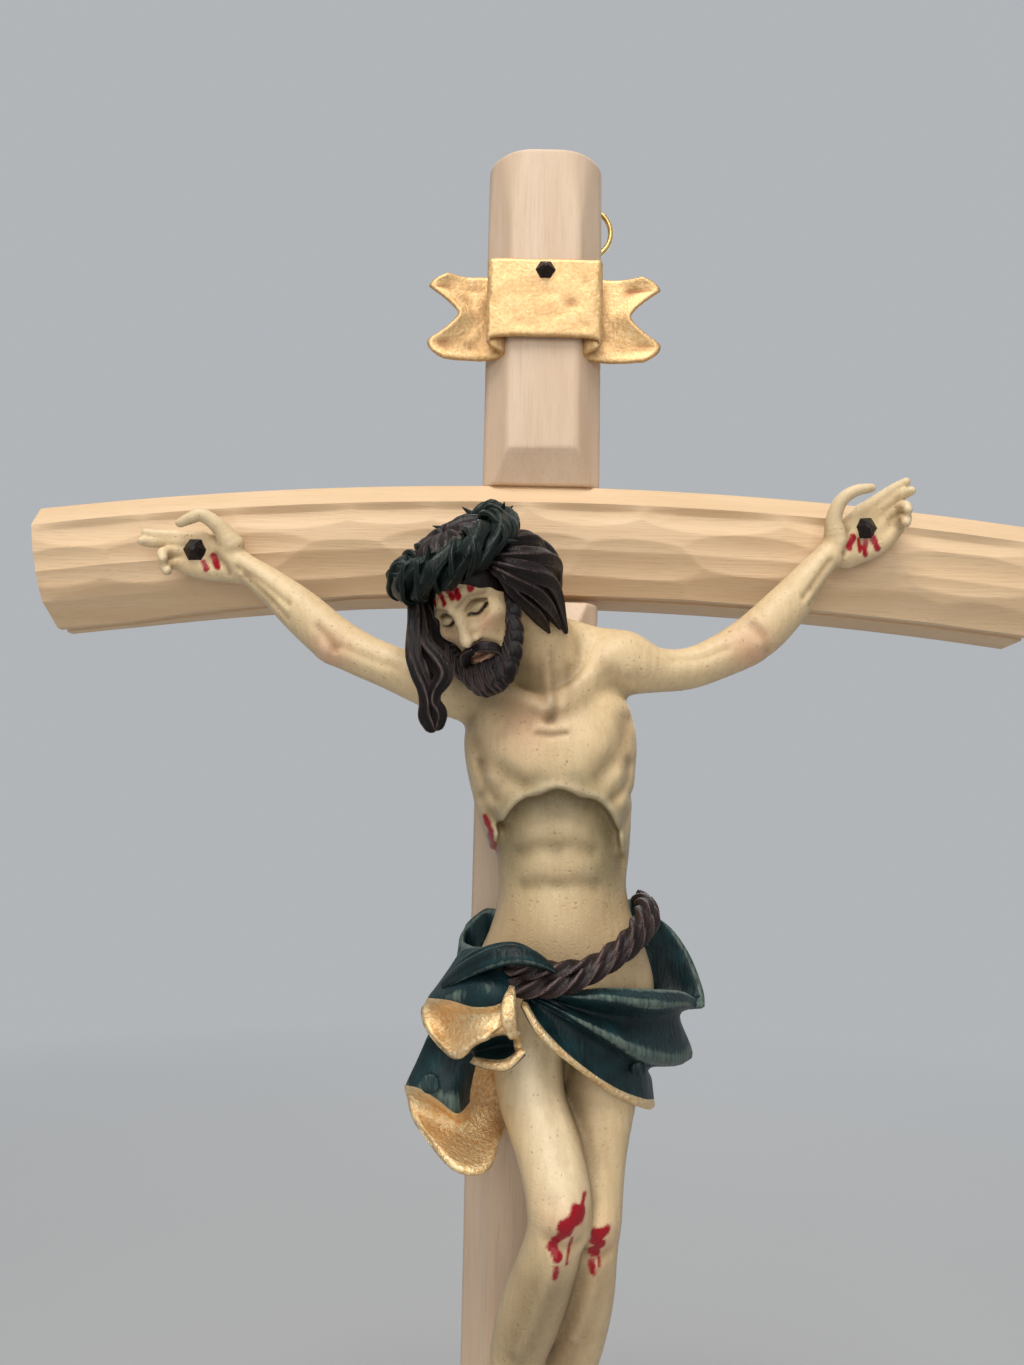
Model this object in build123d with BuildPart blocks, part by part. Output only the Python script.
"""A carved and painted wall crucifix with a bowed crossbar.

Millimetres. The origin is the centre of the upright's foot, +Z is up and the front faces -Y.
The upright and the crossbar are half-lapped and screwed from behind. The figure is carved from a
block for trunk and legs, with the arms and the head glued on, and is held by nails and a screw.
A strap with a ring, on the upright's back, hangs the whole on a wall.
"""

import os
from math import asin, cos, degrees, pi, radians, sin

from build123d import *

os.makedirs("parts", exist_ok=True)

# The cross
upright_length = 358.0
upright_width = 23.2
cross_depth = 17.0
crossing_height = 278.0  # middle of the crossbar above the foot
crossbar_length = 192.0
crossbar_height = 23.0
bow_radius = 720.0  # of the crossbar's middle line

# Facets of the two beams
upright_front_width = 13.5
upright_facet_depth = 6.0
back_chamfer = 1.2
crossbar_top_facet = 4.5
crossbar_heel_height = 9.5
crossbar_heel_depth = 9.0
heel_break_shares = (0.33, 0.42)  # of the heel's depth and height, where its two facets meet
ramp_height = 6.5  # sloped cut on the upright's front, above and below the crossbar
ramp_depth = 3.3

# Screws from behind
lap_screw_length = 13.0
corpus_screw_length = 26.0
screw_shank = 3.0
screw_head = 5.8
screw_head_height = 1.6
screw_slot = 0.8
corpus_screw_height = 203.0  # above the foot

# Title scroll
scroll_height = 326.0  # middle of the panel above the foot
scroll_panel_width = 22.4
scroll_panel_height = 15.3
scroll_thickness = 1.7
scroll_roll_diameter = 3.4
scroll_span = 44.6  # over both swallow-tails
scroll_tail_height = 16.4
scroll_tail_drop = 3.0  # the tails hang lower than the panel
scroll_tail_lap = 2.6  # of each tail behind the panel
scroll_notch_depth = 5.0

# Nails
nail_shank = 1.6
hand_nail_depth = 7.0  # in the crossbar
foot_nail_depth = 8.0  # in the upright
nail_head_width = 4.6
nail_head_height = 1.9
nail_head_taper = 38.0
nail_head_sides = 6
title_nail_head_width = 4.0
title_nail_depth = 5.0
title_nail_rise = 5.2  # above the panel's middle

# Glued dowels
dowel_diameter = 3.0
dowel_length = 9.0

# Hanger on the back
hanger_drop = 7.0  # the screw below the upright's top
hanger_screw_shank = 2.2
hanger_screw_length = 9.0
hanger_screw_head = 4.6
hanger_screw_head_height = 1.3
strap_width = 6.4
strap_reach = 5.4  # from the screw to the fold
strap_thickness = 1.2
strap_wall = 0.6  # round the ring's bar
ring_wire = 1.2
ring_straight = 1.9  # straight part of the ring's sides
ring_round = 5.9  # radius of the ring's far side
ring_corner = 1.3
hanger_clearance = 0.05

# The figure
figure_height = 176.0  # crown to toes, as it hangs
figure_units = 8.8  # the figure is set out in units, so many to its height
limb_sides = 12
rope_sides = 8
finger_sides = 6
outline_points = 30  # round each level of the carved cloth
crown_strands = 2
crown_winds = 4  # turns of each strand round the ring
strand_steps = 14  # in each half of a strand
strand_sides = 6
crown_thorns = 14
thorn_sides = 4

overrun = 3.0  # of every cut past the face it leaves
back = cross_depth / 2
front = -back
unit = figure_height / figure_units


# Tables of the figure, in units: to the viewer's right, out from the cross's front and up from
# the crossing, followed by half sizes
trunk_shares = (
    # right, out, up, half width, half depth, tilt in degrees
    (0.30, 0.50, -4.70, 0.50, 0.40, 0),
    (0.28, 0.45, -4.15, 0.74, 0.48, 0),
    (0.26, 0.45, -3.70, 0.70, 0.45, 0),
    (0.23, 0.44, -3.30, 0.58, 0.41, 0),
    (0.18, 0.50, -2.85, 0.60, 0.48, 2),
    (0.12, 0.53, -2.30, 0.71, 0.56, 4),
    (0.10, 0.54, -1.85, 0.77, 0.53, 6),
    (0.08, 0.50, -1.52, 0.68, 0.38, 8),
    (0.06, 0.48, -1.36, 0.40, 0.26, 8),
)
right_leg_shares = (
    (-0.10, 0.45, -4.05, 0.42, 0.42),
    (0.07, 0.80, -4.80, 0.37, 0.37),
    (0.20, 1.07, -5.30, 0.29, 0.29),
    (0.24, 1.14, -5.55, 0.28, 0.28),
    (0.18, 1.05, -5.90, 0.25, 0.25),
    (0.03, 0.85, -6.40, 0.25, 0.25),
    (-0.15, 0.60, -7.10, 0.17, 0.17),
    (-0.21, 0.48, -7.55, 0.15, 0.16),
)
right_foot_shares = (
    (-0.21, 0.38, -7.42, 0.15, 0.16),
    (-0.14, 0.50, -7.95, 0.20, 0.19),
    (0.01, 0.50, -8.38, 0.22, 0.12),
    (0.08, 0.46, -8.68, 0.16, 0.08),
)
left_leg_shares = (
    (0.60, 0.45, -4.05, 0.42, 0.42),
    (0.65, 0.60, -4.85, 0.36, 0.36),
    (0.60, 0.79, -5.50, 0.28, 0.28),
    (0.56, 0.82, -5.80, 0.27, 0.27),
    (0.53, 0.75, -6.15, 0.24, 0.24),
    (0.47, 0.58, -6.60, 0.24, 0.24),
    (0.31, 0.36, -7.30, 0.17, 0.17),
    (0.23, 0.27, -7.70, 0.15, 0.16),
)
left_foot_shares = (
    (0.25, 0.21, -7.56, 0.15, 0.16),
    (0.16, 0.19, -8.10, 0.20, 0.19),
    (-0.03, 0.14, -8.50, 0.22, 0.14),
    (-0.12, 0.10, -8.80, 0.16, 0.09),
)
right_arm_shares = (
    (-0.30, 0.48, -1.66, 0.26, 0.30),
    (-0.70, 0.49, -1.60, 0.29, 0.31),
    (-1.00, 0.46, -1.50, 0.23, 0.23),
    (-1.35, 0.41, -1.37, 0.20, 0.20),
    (-1.70, 0.35, -1.26, 0.18, 0.18),
    (-1.92, 0.31, -1.13, 0.18, 0.18),
    (-2.15, 0.27, -0.91, 0.18, 0.18),
    (-2.48, 0.21, -0.60, 0.14, 0.14),
    (-2.73, 0.16, -0.38, 0.12, 0.11),
    (-2.93, 0.13, -0.28, 0.18, 0.12),
    (-3.13, 0.12, -0.26, 0.23, 0.12),
    (-3.33, 0.12, -0.24, 0.21, 0.10),
)
left_arm_shares = (
    (0.42, 0.48, -1.52, 0.26, 0.30),
    (0.84, 0.49, -1.41, 0.29, 0.31),
    (1.10, 0.45, -1.33, 0.23, 0.23),
    (1.43, 0.40, -1.26, 0.20, 0.20),
    (1.70, 0.34, -1.16, 0.18, 0.18),
    (1.88, 0.31, -1.02, 0.18, 0.18),
    (2.08, 0.27, -0.80, 0.18, 0.18),
    (2.38, 0.21, -0.48, 0.14, 0.14),
    (2.63, 0.16, -0.21, 0.12, 0.11),
    (2.78, 0.13, -0.07, 0.18, 0.12),
    (2.95, 0.12, 0.09, 0.22, 0.12),
    (3.11, 0.12, 0.24, 0.20, 0.10),
)
# Thumb first, each from its root to its tip
right_finger_shares = (
    ((-2.93, 0.20, -0.18), (-3.32, 0.32, -0.02)),
    ((-3.26, 0.14, -0.11), (-3.72, 0.20, -0.05)),
    ((-3.29, 0.13, -0.20), (-3.76, 0.20, -0.16)),
    ((-3.28, 0.12, -0.30), (-3.71, 0.20, -0.32)),
    ((-3.25, 0.12, -0.38), (-3.59, 0.19, -0.46)),
)
left_finger_shares = (
    ((2.83, 0.20, 0.12), (3.04, 0.32, 0.44)),
    ((3.02, 0.14, 0.30), (3.33, 0.20, 0.60)),
    ((3.08, 0.13, 0.25), (3.43, 0.20, 0.56)),
    ((3.13, 0.12, 0.18), (3.46, 0.20, 0.45)),
    ((3.16, 0.12, 0.11), (3.45, 0.19, 0.31)),
)
finger_share = 0.056  # radius at the root
finger_tip_share = 0.042
neck_shares = (
    (0.12, 0.52, -1.75, 0.30, 0.30),
    (0.05, 0.60, -1.48, 0.26, 0.26),
    (-0.12, 0.78, -1.20, 0.23, 0.23),
    (-0.35, 0.98, -0.92, 0.22, 0.22),
)
lock_shares = (
    (-0.76, 1.05, -0.70, 0.16, 0.16),
    (-0.98, 1.10, -1.00, 0.15, 0.15),
    (-1.03, 1.12, -1.35, 0.12, 0.13),
    (-0.93, 1.12, -1.65, 0.12, 0.12),
    (-0.89, 1.12, -1.90, 0.08, 0.08),
)
side_hair_shares = (
    (-0.20, 0.72, -0.38, 0.26, 0.24),
    (0.02, 0.74, -0.58, 0.20, 0.20),
    (0.10, 0.76, -0.82, 0.16, 0.17),
    (0.08, 0.80, -1.02, 0.09, 0.10),
)
rope_shares = (
    (0.93, 0.34, -3.28, 0.08, 0.08),
    (0.93, 0.66, -3.38, 0.08, 0.08),
    (0.70, 1.00, -3.60, 0.08, 0.08),
    (0.30, 1.16, -3.82, 0.08, 0.08),
    (-0.10, 1.18, -3.94, 0.08, 0.08),
)
# Levels of the carved cloth: right, out, up, half width, half depth
loincloth_shares = (
    (0.34, 0.46, -5.25, 0.78, 0.60),
    (0.36, 0.50, -4.85, 0.92, 0.66),
    (0.36, 0.52, -4.40, 1.00, 0.68),
    (0.34, 0.52, -3.95, 0.98, 0.66),
    (0.30, 0.50, -3.55, 0.84, 0.56),
    (0.28, 0.48, -3.20, 0.74, 0.50),
)
loincloth_folds = 9
loincloth_fold_share = 0.05  # of the half sizes
loincloth_fold_turn = 34.0  # degrees from level to level
waist_shares = (0.10, 0.60, -3.60)
waist_lean_shares = (-0.12, -0.53, 1.0)
hem_shares = (0.07, 1.17, -4.23)
hem_lean_shares = (0.74, 0.0, 1.0)
drape_shares = (
    (-0.50, 0.82, -5.45, 0.16, 0.12),
    (-0.68, 0.85, -5.10, 0.36, 0.26),
    (-0.66, 0.92, -4.65, 0.42, 0.34),
    (-0.54, 1.00, -4.30, 0.46, 0.36),
    (-0.48, 1.02, -3.95, 0.42, 0.32),
    (-0.44, 1.00, -3.68, 0.30, 0.20),
)
drape_folds = 6
drape_fold_share = 0.14
drape_fold_turn = 20.0

# The head, in units along its own axes: up, half width, half depth, shift to the back
head_place_shares = (-0.54, 1.12, -0.85)
head_bow = 24.0  # degrees forward
head_lean = -30.0  # degrees to the viewer's left
head_turn = -20.0
head_shares = (
    (-0.52, 0.10, 0.08, -0.30),
    (-0.44, 0.20, 0.20, -0.22),
    (-0.25, 0.30, 0.36, -0.09),
    (0.00, 0.34, 0.44, -0.02),
    (0.22, 0.36, 0.46, 0.00),
    (0.40, 0.31, 0.39, 0.03),
    (0.51, 0.18, 0.23, 0.04),
    (0.55, 0.05, 0.07, 0.04),
)
hair_shares = (
    (-0.50, 0.20, 0.16, 0.28),
    (-0.28, 0.38, 0.32, 0.20),
    (0.00, 0.45, 0.46, 0.10),
    (0.24, 0.47, 0.53, 0.04),
    (0.44, 0.40, 0.48, 0.04),
    (0.57, 0.24, 0.30, 0.04),
    (0.63, 0.08, 0.10, 0.04),
)
beard_shares = (
    (-0.72, 0.06, 0.05, -0.33),
    (-0.60, 0.16, 0.14, -0.31),
    (-0.46, 0.25, 0.26, -0.24),
    (-0.28, 0.34, 0.40, -0.11),
    (-0.12, 0.36, 0.43, -0.07),
)
nose_share = 0.09  # how far it stands out
nose_width_share = 0.10
nose_span_shares = (-0.14, 0.10)  # its foot and its root
face_plane_share = 0.16  # hair ends this far in front of the head's middle
face_plane_tilt = 140.0
beard_plane_share = 0.06
crown_height_share = 0.27
crown_tilt = 8.0
crown_radius_share = 0.53
crown_twist_share = 0.055  # the strands' distance from the ring's middle line
crown_wire_share = 0.075
strand_lap = 6.0  # degrees by which the two halves of a strand run into each other
thorn_share = 0.04  # radius at its root
thorn_tip_share = 0.008
thorn_length_share = 0.26
thorn_lift = 40.0

# Where the figure is joined
right_hand_nail_shares = (-3.20, 0.22, -0.24)
left_hand_nail_shares = (3.01, 0.22, 0.10)
foot_nail_shares = (-0.02, 0.66, -8.16)
right_shoulder_shares = (-0.68, 0.48, -1.60)
left_shoulder_shares = (0.80, 0.48, -1.39)
shoulder_rise_share = 0.30  # the joints face outwards and a little up
neck_joint_shares = (0.00, 0.64, -1.38)
neck_lean_shares = (-0.14, -0.10, 1.0)
neck_dowel_lean_shares = (-0.50, -0.48, 0.72)


def figure_point(right, out, up):
    """A point of the figure, from its shares."""
    return Vector(unit * right, front - unit * out, crossing_height + unit * up)


def facets(half_width, half_depth, sides):
    """Corners of a faceted oval, with a flat facing each way."""
    angles = [2 * pi * (step + 0.5) / sides for step in range(sides)]
    return [(half_width * cos(angle), half_depth * sin(angle)) for angle in angles]


def carved(planes, outlines):
    """A knife-carved solid with straight cuts from each outline to the next."""
    with BuildPart() as form:
        for plane, outline in zip(planes, outlines):
            with BuildSketch(plane):
                with BuildLine():
                    Polyline(*outline, close=True)
                make_face()
        loft(ruled=True, clean=False)
    return form.part


def limb(stations, sides):
    """A faceted form whose sections are square to the line of the stations."""
    points = [figure_point(*station[:3]) for station in stations]
    planes, outlines = [], []
    for index, station in enumerate(stations):
        before = points[max(index - 1, 0)]
        after = points[min(index + 1, len(points) - 1)]
        along = (after - before).normalized()
        across = along.cross(Vector(0, 1, 0)).normalized()
        planes.append(Plane(origin=points[index], x_dir=across, z_dir=along))
        outlines.append(facets(unit * station[3], unit * station[4], sides))
    return carved(planes, outlines)


def finger(root, tip):
    """A finger that tapers to its tip."""
    return limb(
        (
            (*root, finger_share, finger_share),
            (*tip, finger_tip_share, finger_tip_share),
        ),
        finger_sides,
    )


def head_form(levels):
    """A faceted form through levels along the head's own axis."""
    planes, outlines = [], []
    for up, half_width, half_depth, shift in levels:
        planes.append(head_plane.offset(unit * up))
        oval = facets(unit * half_width, unit * half_depth, limb_sides)
        outlines.append([(x, y + unit * shift) for x, y in oval])
    return carved(planes, outlines)


def cloth_form(levels, folds, fold_share, fold_turn):
    """Carved cloth: level outlines with folds that turn from level to level."""
    planes, outlines = [], []
    for index, (right, out, up, half_width, half_depth) in enumerate(levels):
        turn = radians(index * fold_turn)
        outline = []
        for step in range(outline_points):
            angle = 2 * pi * step / outline_points
            swell = unit * (1 + fold_share * cos(folds * angle + turn))
            outline.append((half_width * swell * cos(angle), half_depth * swell * sin(angle)))
        planes.append(Plane(figure_point(right, out, up)))
        outlines.append(outline)
    return carved(planes, outlines)


def strand(start, end, phase):
    """Part of a crown strand that winds round the ring's middle line, between two angles."""
    planes, outlines = [], []
    for step in range(strand_steps + 1):
        angle = start + (end - start) * step / strand_steps
        wind = crown_winds * angle + phase
        reach = crown_radius + crown_twist * cos(wind)
        centre = Vector(reach * cos(angle), reach * sin(angle), crown_twist * sin(wind))
        spot = Plane(
            origin=crown_plane.from_local_coords(centre),
            x_dir=crown_plane.z_dir,
            z_dir=crown_plane.x_dir * -sin(angle) + crown_plane.y_dir * cos(angle),
        )
        planes.append(spot)
        outlines.append(facets(crown_wire, crown_wire, strand_sides))
    return carved(planes, outlines)


def thorn(angle, lift):
    """A thorn that stands out of the crown's ring."""
    outward = crown_plane.x_dir * cos(angle) + crown_plane.y_dir * sin(angle)
    root = crown_plane.origin + outward * crown_radius
    way = outward * cos(lift) + crown_plane.z_dir * sin(lift)
    planes = [Plane(origin=root, z_dir=way), Plane(origin=root + way * thorn_length, z_dir=way)]
    outlines = [facets(size, size, thorn_sides) for size in (thorn_radius, thorn_tip)]
    return carved(planes, outlines)


def nail(seat, head_width, shank_length):
    """A nail driven straight back, with the underside of its faceted head at the seat."""
    with BuildPart(Plane(origin=seat, x_dir=(1, 0, 0), z_dir=(0, 1, 0))) as form:
        Cylinder(nail_shank / 2, shank_length, align=(Align.CENTER, Align.CENTER, Align.MIN))
        with BuildSketch(Plane(origin=seat, x_dir=(1, 0, 0), z_dir=(0, -1, 0))):
            RegularPolygon(head_width / 2, nail_head_sides)
        extrude(amount=nail_head_height, taper=nail_head_taper)
    return form


def screw_blank(height, length):
    """A countersunk screw without its slot, flush with the back of the cross."""
    seat = Plane(origin=(0, back, height), x_dir=(1, 0, 0), z_dir=(0, -1, 0))
    grow = (Align.CENTER, Align.CENTER, Align.MIN)
    with BuildPart(seat) as form:
        Cone(screw_head / 2, screw_shank / 2, screw_head_height, align=grow)
        with Locations((0, 0, screw_head_height)):
            Cylinder(screw_shank / 2, length - screw_head_height, align=grow)
    return form


def slotted(blank, height):
    """The screw with its slot cut."""
    with BuildPart() as form:
        add(blank.part)
        with Locations((0, back, height)):
            Box(screw_head, screw_head_height, screw_slot, mode=Mode.SUBTRACT)
    return form


def dowel(place, axis):
    """A dowel with half its length on each side of a joint."""
    with BuildPart(Plane(origin=place, z_dir=axis)) as form:
        Cylinder(dowel_diameter / 2, dowel_length)
    return form


# Fasteners first, because the holes are cut with them
lap_blank = screw_blank(crossing_height, lap_screw_length)
corpus_blank = screw_blank(corpus_screw_height, corpus_screw_length)
lap_screw = slotted(lap_blank, crossing_height)
corpus_screw = slotted(corpus_blank, corpus_screw_height)

right_hand_seat = figure_point(*right_hand_nail_shares)
left_hand_seat = figure_point(*left_hand_nail_shares)
foot_seat = figure_point(*foot_nail_shares)
title_seat = Vector(0, front - scroll_thickness, scroll_height + title_nail_rise)
right_hand_nail = nail(right_hand_seat, nail_head_width, front - right_hand_seat.Y + hand_nail_depth)
left_hand_nail = nail(left_hand_seat, nail_head_width, front - left_hand_seat.Y + hand_nail_depth)
foot_nail = nail(foot_seat, nail_head_width, front - foot_seat.Y + foot_nail_depth)
title_nail = nail(title_seat, title_nail_head_width, scroll_thickness + title_nail_depth)

right_shoulder = Plane(
    origin=figure_point(*right_shoulder_shares), z_dir=(-1, 0, shoulder_rise_share)
)
left_shoulder = Plane(
    origin=figure_point(*left_shoulder_shares), z_dir=(1, 0, shoulder_rise_share)
)
neck_joint = Plane(origin=figure_point(*neck_joint_shares), z_dir=neck_lean_shares)
right_shoulder_dowel = dowel(right_shoulder.origin, right_shoulder.z_dir)
left_shoulder_dowel = dowel(left_shoulder.origin, left_shoulder.z_dir)
neck_dowel = dowel(neck_joint.origin, neck_dowel_lean_shares)

# The upright, notched half through for the crossbar
half_width = upright_width / 2
lap_sag = bow_radius * (1 - cos(asin(half_width / bow_radius)))
lap_top = crossing_height + crossbar_height / 2
lap_bottom = crossing_height - crossbar_height / 2 - lap_sag
hanger_height = upright_length - hanger_drop

with BuildPart() as hanger_screw:
    with BuildSketch(Plane.XZ.offset(-(back + 2 * hanger_clearance + strap_thickness))):
        with Locations((0, hanger_height)):
            Circle(hanger_screw_head / 2)
    extrude(amount=-hanger_screw_head_height)
    fillet(hanger_screw.edges().sort_by(Axis.Y)[-1], hanger_screw_head_height / 2)
    with BuildSketch(Plane.XZ.offset(-(back + 2 * hanger_clearance + strap_thickness))):
        with Locations((0, hanger_height)):
            Circle(hanger_screw_shank / 2)
    extrude(amount=hanger_screw_length)
    with Locations((0, hanger_screw.part.bounding_box().max.Y, hanger_height)):
        Box(hanger_screw_head, hanger_screw_head_height, screw_slot, mode=Mode.SUBTRACT)

with BuildPart() as upright:
    with BuildSketch():
        with BuildLine():
            Polyline(
                (-upright_front_width / 2, front),
                (upright_front_width / 2, front),
                (half_width, front + upright_facet_depth),
                (half_width, back - back_chamfer),
                (half_width - back_chamfer, back),
                (back_chamfer - half_width, back),
                (-half_width, back - back_chamfer),
                (-half_width, front + upright_facet_depth),
                close=True,
            )
        make_face()
    extrude(amount=upright_length)
    with BuildSketch(Plane.YZ):
        with BuildLine():
            Polyline(
                (front, lap_bottom - ramp_height),
                (front + ramp_depth, lap_bottom),
                (0, lap_bottom),
                (0, lap_top),
                (front + ramp_depth, lap_top),
                (front, lap_top + ramp_height),
                (front - overrun, lap_top + ramp_height),
                (front - overrun, lap_bottom - ramp_height),
                close=True,
            )
        make_face()
    extrude(amount=upright_width, both=True, mode=Mode.SUBTRACT)
    for fastener in (lap_blank, corpus_blank, hanger_screw, title_nail, foot_nail):
        add(fastener.part, mode=Mode.SUBTRACT)

# The crossbar, turned round the bow's centre, notched at the back for the upright
bow_centre = crossing_height - bow_radius
bow_half = asin(crossbar_length / 2 / bow_radius)
bar_end = Plane(
    origin=(-bow_radius * sin(bow_half), 0, bow_centre + bow_radius * cos(bow_half)),
    x_dir=(0, 1, 0),
    z_dir=(cos(bow_half), 0, sin(bow_half)),
)
under = -crossbar_height / 2
over = crossbar_height / 2
heel_depth_share, heel_height_share = heel_break_shares

with BuildPart() as crossbar:
    with BuildSketch(bar_end):
        with BuildLine():
            Polyline(
                (front + crossbar_top_facet, over),
                (front, over - crossbar_top_facet),
                (front, under + crossbar_heel_height),
                (
                    front + crossbar_heel_depth * heel_depth_share,
                    under + crossbar_heel_height * heel_height_share,
                ),
                (front + crossbar_heel_depth, under),
                (back - back_chamfer, under),
                (back, under + back_chamfer),
                (back, over - back_chamfer),
                (back - back_chamfer, over),
                close=True,
            )
        make_face()
    revolve(axis=Axis((0, 0, bow_centre), (0, 1, 0)), revolution_arc=degrees(2 * bow_half))
    with BuildSketch(Plane.XY.offset(crossing_height)):
        Rectangle(upright_width, cross_depth, align=(Align.CENTER, Align.MIN))
    extrude(amount=crossbar_height, both=True, mode=Mode.SUBTRACT)
    for fastener in (lap_blank, right_hand_nail, left_hand_nail):
        add(fastener.part, mode=Mode.SUBTRACT)

# The gilded scroll: a panel on the upright's front, two folds and two swallow-tails behind it
tail_root = scroll_panel_width / 2 - scroll_tail_lap
tail_tip = scroll_span / 2
tail_middle = scroll_height - scroll_tail_drop
roll_place = scroll_panel_width / 2 - scroll_roll_diameter / 2
with BuildPart() as title_scroll:
    with BuildSketch(Plane.XZ.offset(-front)):
        with Locations((0, scroll_height)):
            Rectangle(scroll_panel_width, scroll_panel_height)
    extrude(amount=scroll_thickness)
    with BuildSketch(Plane.XZ.offset(-front)):
        for side in (-1, 1):
            with BuildLine():
                Polyline(
                    (side * tail_root, tail_middle - scroll_tail_height / 2),
                    (side * tail_tip, tail_middle - scroll_tail_height / 2),
                    (side * (tail_tip - scroll_notch_depth), tail_middle),
                    (side * tail_tip, tail_middle + scroll_tail_height / 2),
                    (side * tail_root, tail_middle + scroll_tail_height / 2),
                    close=True,
                )
            make_face()
    extrude(amount=-scroll_thickness)
    with BuildSketch(Plane.XY.offset(tail_middle - scroll_tail_height / 2)):
        with Locations((-roll_place, front), (roll_place, front)):
            Circle(scroll_roll_diameter / 2)
    extrude(amount=scroll_tail_height)
    add(upright.part, mode=Mode.SUBTRACT)
    add(title_nail.part, mode=Mode.SUBTRACT)

# The figure's forms, before they are cut against each other
cross_front = Plane(origin=(0, front, 0), z_dir=(0, -1, 0))
neck_form = limb(neck_shares, limb_sides)
right_arm_form = limb(right_arm_shares, limb_sides)
left_arm_form = limb(left_arm_shares, limb_sides)
leg_forms = [
    limb(shares, limb_sides)
    for shares in (right_leg_shares, right_foot_shares, left_leg_shares, left_foot_shares)
]
right_fingers = [finger(root, tip) for root, tip in right_finger_shares]
left_fingers = [finger(root, tip) for root, tip in left_finger_shares]

with BuildPart() as neck_stump:
    add(neck_form)
    split(bisect_by=neck_joint, keep=Keep.BOTTOM)

with BuildPart() as neck_top:
    add(neck_form)
    split(bisect_by=neck_joint, keep=Keep.TOP)

trunk_planes, trunk_outlines = [], []
for right, out, up, half_across, half_deep, tilt in trunk_shares:
    lean = radians(tilt)
    level = Plane(
        origin=figure_point(right, out, up),
        x_dir=(cos(lean), 0, sin(lean)),
        z_dir=(-sin(lean), 0, cos(lean)),
    )
    trunk_planes.append(level)
    trunk_outlines.append(facets(unit * half_across, unit * half_deep, limb_sides))
trunk_form = carved(trunk_planes, trunk_outlines)

with BuildPart() as right_shoulder_root:
    add(right_arm_form)
    split(bisect_by=right_shoulder, keep=Keep.BOTTOM)

with BuildPart() as left_shoulder_root:
    add(left_arm_form)
    split(bisect_by=left_shoulder, keep=Keep.BOTTOM)

with BuildPart() as trunk:
    add(trunk_form)
    split(bisect_by=neck_joint, keep=Keep.BOTTOM)
    split(bisect_by=right_shoulder, keep=Keep.BOTTOM)
    split(bisect_by=left_shoulder, keep=Keep.BOTTOM)

trunk_forms = (trunk, neck_stump, right_shoulder_root, left_shoulder_root)
body_fasteners = (right_shoulder_dowel, left_shoulder_dowel, neck_dowel, corpus_blank, foot_nail)
with BuildPart() as body:
    add([form.part for form in trunk_forms] + leg_forms, clean=False)
    split(bisect_by=cross_front, keep=Keep.TOP)
    add([fastener.part for fastener in body_fasteners], mode=Mode.SUBTRACT)

with BuildPart() as right_arm:
    add(right_arm_form)
    split(bisect_by=right_shoulder, keep=Keep.TOP)
    add(right_fingers, clean=False)
    split(bisect_by=cross_front, keep=Keep.TOP)
    add([right_shoulder_dowel.part, right_hand_nail.part], mode=Mode.SUBTRACT)

with BuildPart() as left_arm:
    add(left_arm_form)
    split(bisect_by=left_shoulder, keep=Keep.TOP)
    add(left_fingers, clean=False)
    split(bisect_by=cross_front, keep=Keep.TOP)
    add([left_shoulder_dowel.part, left_hand_nail.part], mode=Mode.SUBTRACT)

# The carved cloth and its rope
waist = Plane(origin=figure_point(*waist_shares), z_dir=waist_lean_shares)
hem = Plane(origin=figure_point(*hem_shares), z_dir=hem_lean_shares)
loincloth_form = cloth_form(
    loincloth_shares, loincloth_folds, loincloth_fold_share, loincloth_fold_turn
)
drape_form = cloth_form(drape_shares, drape_folds, drape_fold_share, drape_fold_turn)
rope_form = limb(rope_shares, rope_sides)

with BuildPart() as loincloth:
    add(loincloth_form)
    split(bisect_by=waist, keep=Keep.BOTTOM)
    split(bisect_by=hem, keep=Keep.TOP)
    split(bisect_by=cross_front, keep=Keep.TOP)
    add([body.part, corpus_blank.part], mode=Mode.SUBTRACT)

with BuildPart() as loincloth_drape:
    add(drape_form)
    add([body.part, loincloth.part], mode=Mode.SUBTRACT)

with BuildPart() as rope_belt:
    add(rope_form)
    add([loincloth.part, loincloth_drape.part], mode=Mode.SUBTRACT)

# The head and what it wears
head_plane = Plane(Location(figure_point(*head_place_shares), (head_bow, head_lean, head_turn)))
head_core = head_form(head_shares)
hair_form = head_form(hair_shares)
beard_form = head_form(beard_shares)
lock_form = limb(lock_shares, limb_sides)
side_hair_form = limb(side_hair_shares, limb_sides)
face_plane = head_plane.rotated((face_plane_tilt, 0, 0)).offset(unit * face_plane_share)
beard_plane = head_plane.rotated((90, 0, 0)).offset(unit * beard_plane_share)
crown_plane = head_plane.offset(unit * crown_height_share).rotated((crown_tilt, 0, 0))
crown_radius = unit * crown_radius_share
crown_twist = unit * crown_twist_share
crown_wire = unit * crown_wire_share
thorn_radius = unit * thorn_share
thorn_tip = unit * thorn_tip_share
thorn_length = unit * thorn_length_share
lap_angle = radians(strand_lap)
strand_forms = [
    strand(half * pi, (half + 1) * pi + lap_angle, 2 * pi * index / crown_strands)
    for index in range(crown_strands)
    for half in (0, 1)
]
thorn_forms = [
    thorn(2 * pi * index / crown_thorns, radians(thorn_lift if index % 2 else -thorn_lift))
    for index in range(crown_thorns)
]

with BuildPart() as crown_of_thorns:
    add(strand_forms + thorn_forms, clean=False)

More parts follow.
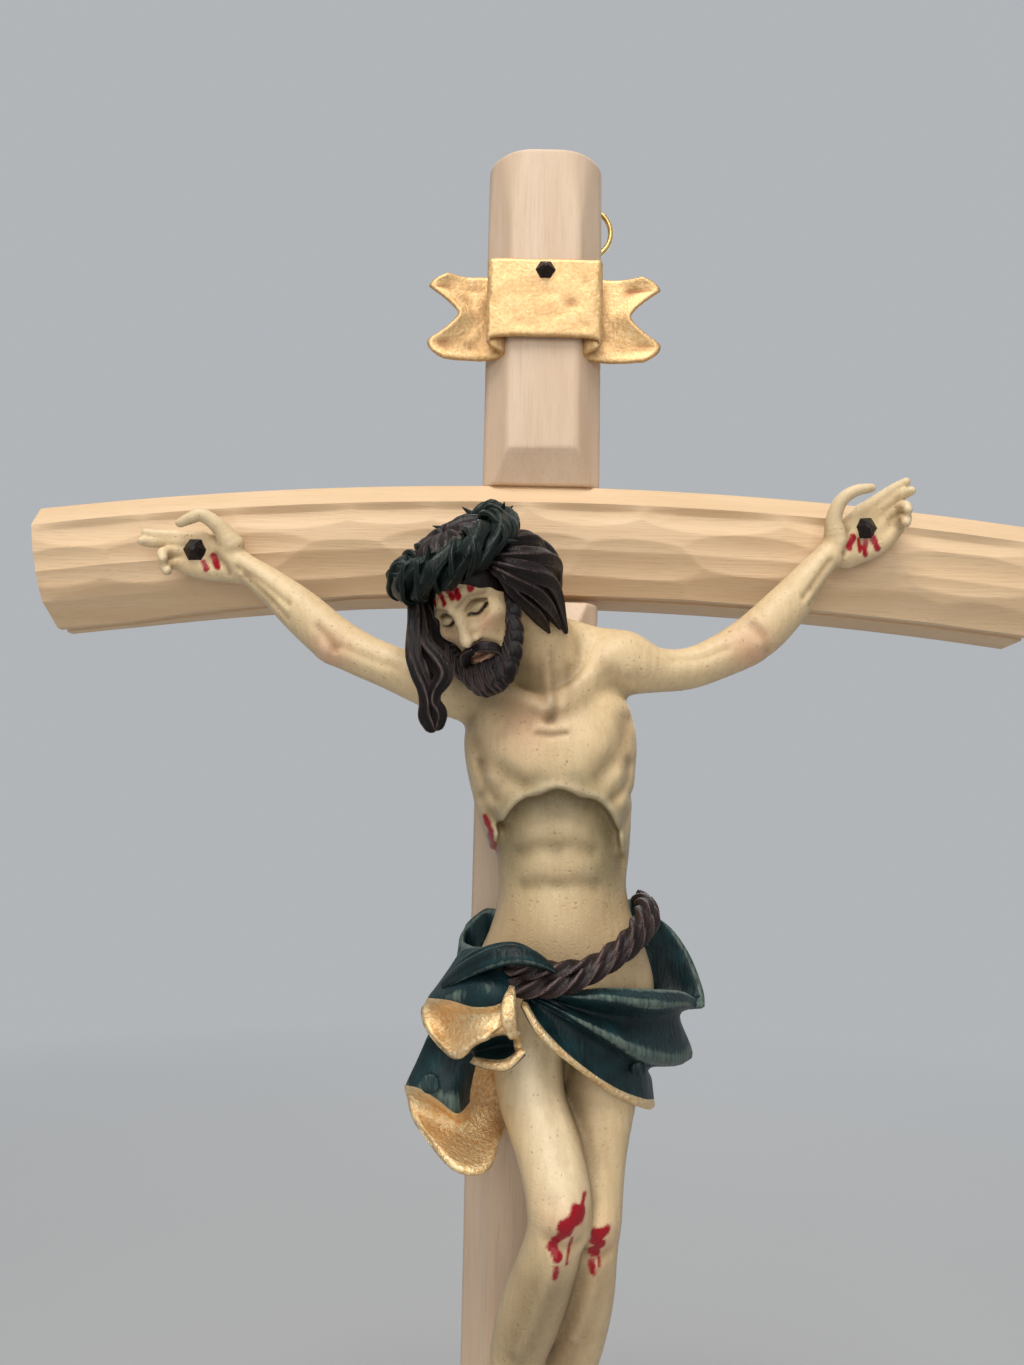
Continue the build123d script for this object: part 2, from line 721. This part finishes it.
nose_foot, nose_root = nose_span_shares
face_front = head_shares[3][2] - head_shares[3][3]
with BuildPart() as head:
    add(head_core)
    add(neck_top.part)
    with BuildSketch(head_plane.rotated((0, 90, 0))):
        with BuildLine():
            Polyline(
                (-unit * nose_root, -unit * face_front),
                (-unit * nose_foot, -unit * (face_front + nose_share)),
                (-unit * nose_foot, 0),
                (-unit * nose_root, 0),
                close=True,
            )
        make_face()
    extrude(amount=unit * nose_width_share / 2, both=True)
    add([neck_dowel.part, crown_of_thorns.part], mode=Mode.SUBTRACT)

with BuildPart() as hair:
    add(hair_form)
    split(bisect_by=face_plane, keep=Keep.BOTTOM)
    add([lock_form, side_hair_form])
    add([head.part, crown_of_thorns.part], mode=Mode.SUBTRACT)

with BuildPart() as beard:
    add(beard_form)
    split(bisect_by=beard_plane, keep=Keep.TOP)
    add([head.part, hair.part], mode=Mode.SUBTRACT)

# The hanger: a folded strap that swivels on its screw, and a ring in its fold
fold_radius = ring_wire / 2 + hanger_clearance + strap_wall
fold_depth = back + hanger_clearance + fold_radius
ring_side = ring_round - ring_corner
with BuildPart() as hanger_strap:
    with BuildSketch(Plane.XZ.offset(-(back + hanger_clearance))):
        with Locations((0, hanger_height)):
            Circle(strap_width / 2)
            Rectangle(strap_reach, strap_width, align=(Align.MIN, Align.CENTER))
    extrude(amount=-strap_thickness)
    with Locations((strap_reach, fold_depth, hanger_height)):
        Cylinder(fold_radius, strap_width)
        Cylinder(ring_wire / 2 + hanger_clearance, strap_width, mode=Mode.SUBTRACT)
    with Locations(Location((0, back, hanger_height), (90, 0, 0))):
        Cylinder(hanger_screw_shank / 2 + hanger_clearance, cross_depth, mode=Mode.SUBTRACT)

with BuildPart() as hanger_ring:
    with BuildLine(Plane.XZ.offset(-fold_depth)) as ring_line:
        bar = Line(
            (strap_reach, hanger_height - ring_side), (strap_reach, hanger_height + ring_side)
        )
        upper_corner = JernArc(bar @ 1, bar % 1, ring_corner, -90)
        upper_side = Line(upper_corner @ 1, upper_corner @ 1 + Vector(ring_straight, 0, 0))
        bend = JernArc(upper_side @ 1, upper_side % 1, ring_round, -180)
        lower_side = Line(bend @ 1, bend @ 1 - Vector(ring_straight, 0, 0))
        JernArc(lower_side @ 1, lower_side % 1, ring_corner, -90)
    with BuildSketch(Plane(origin=bar @ 0, z_dir=(0, 0, 1))):
        Circle(ring_wire / 2)
    sweep()

pieces = {
    "upright": upright,
    "crossbar": crossbar,
    "lap_screw": lap_screw,
    "corpus_screw": corpus_screw,
    "title_scroll": title_scroll,
    "title_nail": title_nail,
    "body": body,
    "right_arm": right_arm,
    "left_arm": left_arm,
    "right_shoulder_dowel": right_shoulder_dowel,
    "left_shoulder_dowel": left_shoulder_dowel,
    "head": head,
    "neck_dowel": neck_dowel,
    "hair": hair,
    "beard": beard,
    "crown_of_thorns": crown_of_thorns,
    "loincloth": loincloth,
    "loincloth_drape": loincloth_drape,
    "rope_belt": rope_belt,
    "right_hand_nail": right_hand_nail,
    "left_hand_nail": left_hand_nail,
    "foot_nail": foot_nail,
    "hanger_strap": hanger_strap,
    "hanger_ring": hanger_ring,
    "hanger_screw": hanger_screw,
}
for label, piece in pieces.items():
    piece.part.label = label
    export_step(piece.part, f"parts/{label}.step")
